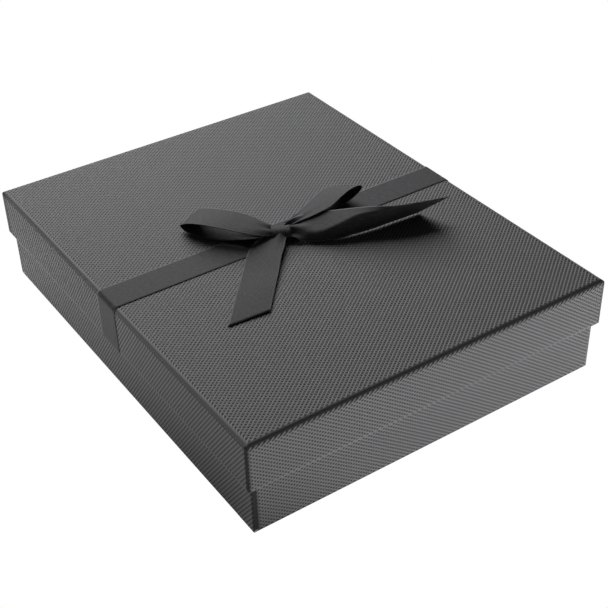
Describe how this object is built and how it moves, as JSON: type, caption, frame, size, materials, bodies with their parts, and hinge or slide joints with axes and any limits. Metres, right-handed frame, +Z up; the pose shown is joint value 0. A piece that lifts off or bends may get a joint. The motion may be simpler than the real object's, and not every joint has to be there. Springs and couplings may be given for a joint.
{
  "type": "gift box",
  "caption": "Rectangular rigid gift box: a board tray with a deep lift-off lid, covered in embossed paper, with a satin ribbon round the lid and a tied bow on top.",
  "frame": {"origin": "centre of the tray's underside, on the surface the box rests on", "axes": "+Z up through the lid; +Y along the long side towards the back; -Y is the short side nearest the viewer; +X to the right; the ribbon band runs along X"},
  "size_m": [0.2828, 0.35, 0.096],
  "materials": {
    "greyboard": "uncoated grey board",
    "stay_paper": "brown gummed paper",
    "embossed_paper": "charcoal paper with a fine diamond emboss and a slight sheen",
    "lining_paper": "smooth matt near-black paper",
    "satin_ribbon": "charcoal satin",
    "adhesive": "dried adhesive"
  },
  "bodies": {
    "tray": {"tray_floor_board": "greyboard", "tray_front_board": "greyboard", "tray_back_board": "greyboard", "tray_left_board": "greyboard", "tray_right_board": "greyboard", "tray_corner_stays": "stay_paper", "tray_side_wrap": "embossed_paper", "tray_base_sheet": "lining_paper", "tray_wall_lining": "lining_paper", "tray_floor_lining": "lining_paper"},
    "lid": {"lid_top_board": "greyboard", "lid_front_board": "greyboard", "lid_back_board": "greyboard", "lid_left_board": "greyboard", "lid_right_board": "greyboard", "lid_corner_stays": "stay_paper", "lid_wrap": "embossed_paper", "lid_lining": "lining_paper", "ribbon_band": "satin_ribbon", "ribbon_end_pads": "adhesive", "bow_glue_dot": "adhesive", "bow_knot": "satin_ribbon", "bow_left_loop": "satin_ribbon", "bow_right_loop": "satin_ribbon", "bow_front_tail": "satin_ribbon", "bow_right_tail": "satin_ribbon"}
  },
  "joints": [
    {"name": "lid_lift", "type": "slide", "parent": "tray", "child": "lid", "axis": [0, 0, 1], "range_m": [0, 0.12]}
  ]
}
